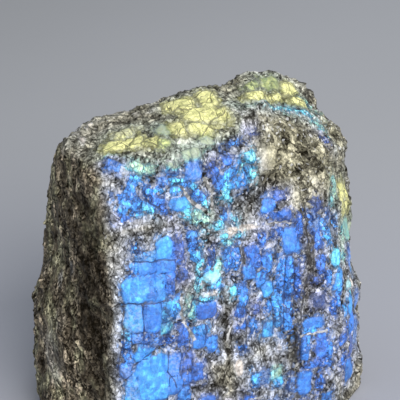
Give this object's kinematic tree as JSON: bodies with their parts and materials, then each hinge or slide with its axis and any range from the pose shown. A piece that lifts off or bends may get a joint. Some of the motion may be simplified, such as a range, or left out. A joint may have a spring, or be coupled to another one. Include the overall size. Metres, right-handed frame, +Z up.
{
  "type": "rough labradorite chunk",
  "caption": "Rough upright chunk of labradorite with a broad iridescent cleavage face, a sloping crest and a flat break to stand on.",
  "frame": {"origin": "centre of the chunk's outline, on the surface that it stands on", "axes": "+Z up, the broad blue cleavage face towards -Y, +X to the right of that face"},
  "size_m": [0.0926, 0.0598, 0.095],
  "materials": {
    "labradorite": "Broken feldspar: dark grey-brown rock with pale crushed grains, glassy cleavage blocks that flash blue and cyan on the broad face, and yellow-green on the sloping crest."
  },
  "bodies": {
    "root": {"labradorite_chunk": "labradorite"}
  },
  "joints": []
}
